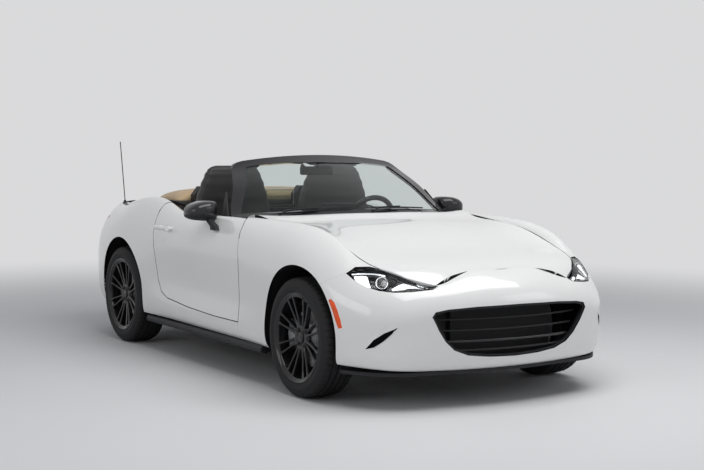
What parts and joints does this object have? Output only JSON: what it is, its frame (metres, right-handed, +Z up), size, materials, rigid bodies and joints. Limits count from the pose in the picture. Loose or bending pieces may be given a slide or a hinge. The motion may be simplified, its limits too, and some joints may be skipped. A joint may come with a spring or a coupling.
{
  "type": "roadster convertible",
  "caption": "Open two-seat roadster with its soft top folded, white body, black windscreen frame, mirrors and wheels, opening doors, bonnet and boot.",
  "frame": {"origin": "on the ground, under the middle of the car's length and width", "axes": "+Z up, the front faces -Y, +X is the car's left"},
  "size_m": [1.912, 3.9158, 1.2921],
  "materials": {
    "body_paint": "gloss pearl white paint",
    "black_gloss": "gloss black paint",
    "black_trim": "satin black moulded plastic",
    "glass": "clear laminated glass",
    "lamp": "lamp units behind clear lenses",
    "tail_lamp": "red lamp units",
    "tyre": "tyre rubber",
    "wheel_paint": "gloss black alloy wheel",
    "cast_metal": "cast and machined metal",
    "floor_paint": "dark underbody coating",
    "cabin_trim": "soft black cabin trim",
    "seat_leather": "black leather",
    "top_cloth": "tan canvas",
    "steel": "plain steel"
  },
  "bodies": {
    "body": {"front_bumper": "body_paint", "front_fenders": "body_paint", "cowl": "black_trim", "rear_quarters": "body_paint", "rear_deck": "black_trim", "rear_bumper": "body_paint", "front_lamps": "lamp", "tail_lamps": "tail_lamp", "front_grille": "black_trim", "front_lip": "black_trim", "windscreen_frame": "black_gloss", "windscreen_glass": "glass", "wipers": "black_trim", "side_skirts": "black_trim", "tub": "floor_paint", "firewall": "floor_paint", "rear_bulkhead": "floor_paint", "front_liners": "black_trim", "rear_liners": "black_trim", "seats": "seat_leather", "steering_column": "cabin_trim", "dashboard": "cabin_trim", "console": "cabin_trim", "roll_hoops": "black_trim", "soft_top": "top_cloth", "antenna": "black_trim", "front_suspension": "cast_metal", "rear_suspension": "cast_metal", "engine": "cast_metal", "radiator": "cast_metal", "exhaust": "steel"},
    "door_left": {"door_left": "body_paint", "mirror_left": "black_gloss", "handle_left": "body_paint"},
    "door_right": {"door_right": "body_paint", "mirror_right": "black_gloss", "handle_right": "body_paint"},
    "bonnet": {"bonnet": "body_paint"},
    "boot_lid": {"boot_lid": "body_paint"},
    "fuel_flap": {"fuel_flap": "body_paint"},
    "steering_wheel": {"steering_wheel": "seat_leather"},
    "knuckle_left": {"knuckle_left": "cast_metal"},
    "knuckle_right": {"knuckle_right": "cast_metal"},
    "wheel_front_left": {"tyre_front_left": "tyre", "rim_front_left": "wheel_paint", "disc_front_left": "steel"},
    "wheel_front_right": {"tyre_front_right": "tyre", "rim_front_right": "wheel_paint", "disc_front_right": "steel"},
    "wheel_rear_left": {"tyre_rear_left": "tyre", "rim_rear_left": "wheel_paint", "disc_rear_left": "steel"},
    "wheel_rear_right": {"tyre_rear_right": "tyre", "rim_rear_right": "wheel_paint", "disc_rear_right": "steel"}
  },
  "joints": [
    {"name": "steer_left", "type": "hinge", "parent": "body", "child": "knuckle_left", "pos_m": [0.685, -1.2, 0.308], "axis": [0, 0, 1], "range_deg": [-32, 32]},
    {"name": "steer_right", "type": "hinge", "parent": "body", "child": "knuckle_right", "pos_m": [-0.685, -1.2, 0.308], "axis": [0, 0, 1], "range_deg": [-32, 32]},
    {"name": "steering_wheel_turn", "type": "hinge", "parent": "body", "child": "steering_wheel", "pos_m": [0.365, 0.035, 0.805], "axis": [0, 0.9135, 0.4067], "range_deg": [-480, 480]},
    {"name": "door_left_open", "type": "hinge", "parent": "body", "child": "door_left", "pos_m": [0.828, -0.465, 0.6], "axis": [0, 0, -1], "range_deg": [0, 66]},
    {"name": "door_right_open", "type": "hinge", "parent": "body", "child": "door_right", "pos_m": [-0.828, -0.465, 0.6], "axis": [0, 0, 1], "range_deg": [0, 66]},
    {"name": "bonnet_open", "type": "hinge", "parent": "body", "child": "bonnet", "pos_m": [0, -0.3, 0.848], "axis": [-1, 0, 0], "range_deg": [0, 50]},
    {"name": "boot_open", "type": "hinge", "parent": "body", "child": "boot_lid", "pos_m": [0, 1.351, 0.9065], "axis": [1, 0, 0], "range_deg": [0, 72]},
    {"name": "fuel_flap_open", "type": "hinge", "parent": "body", "child": "fuel_flap", "pos_m": [0.863, 0.811, 0.742], "axis": [0, 0, -1], "range_deg": [0, 80]},
    {"name": "spin_front_left", "type": "hinge", "parent": "knuckle_left", "child": "wheel_front_left", "pos_m": [0.7475, -1.2, 0.308], "axis": [1, 0, 0], "continuous": true},
    {"name": "spin_front_right", "type": "hinge", "parent": "knuckle_right", "child": "wheel_front_right", "pos_m": [-0.7475, -1.2, 0.308], "axis": [1, 0, 0], "continuous": true},
    {"name": "spin_rear_left", "type": "hinge", "parent": "body", "child": "wheel_rear_left", "pos_m": [0.7525, 1.11, 0.308], "axis": [1, 0, 0], "continuous": true},
    {"name": "spin_rear_right", "type": "hinge", "parent": "body", "child": "wheel_rear_right", "pos_m": [-0.7525, 1.11, 0.308], "axis": [1, 0, 0], "continuous": true}
  ],
  "couplings": [
    {"joint": "steer_right", "follows": "steer_left", "ratio": 1},
    {"joint": "steering_wheel_turn", "follows": "steer_left", "ratio": 15}
  ]
}
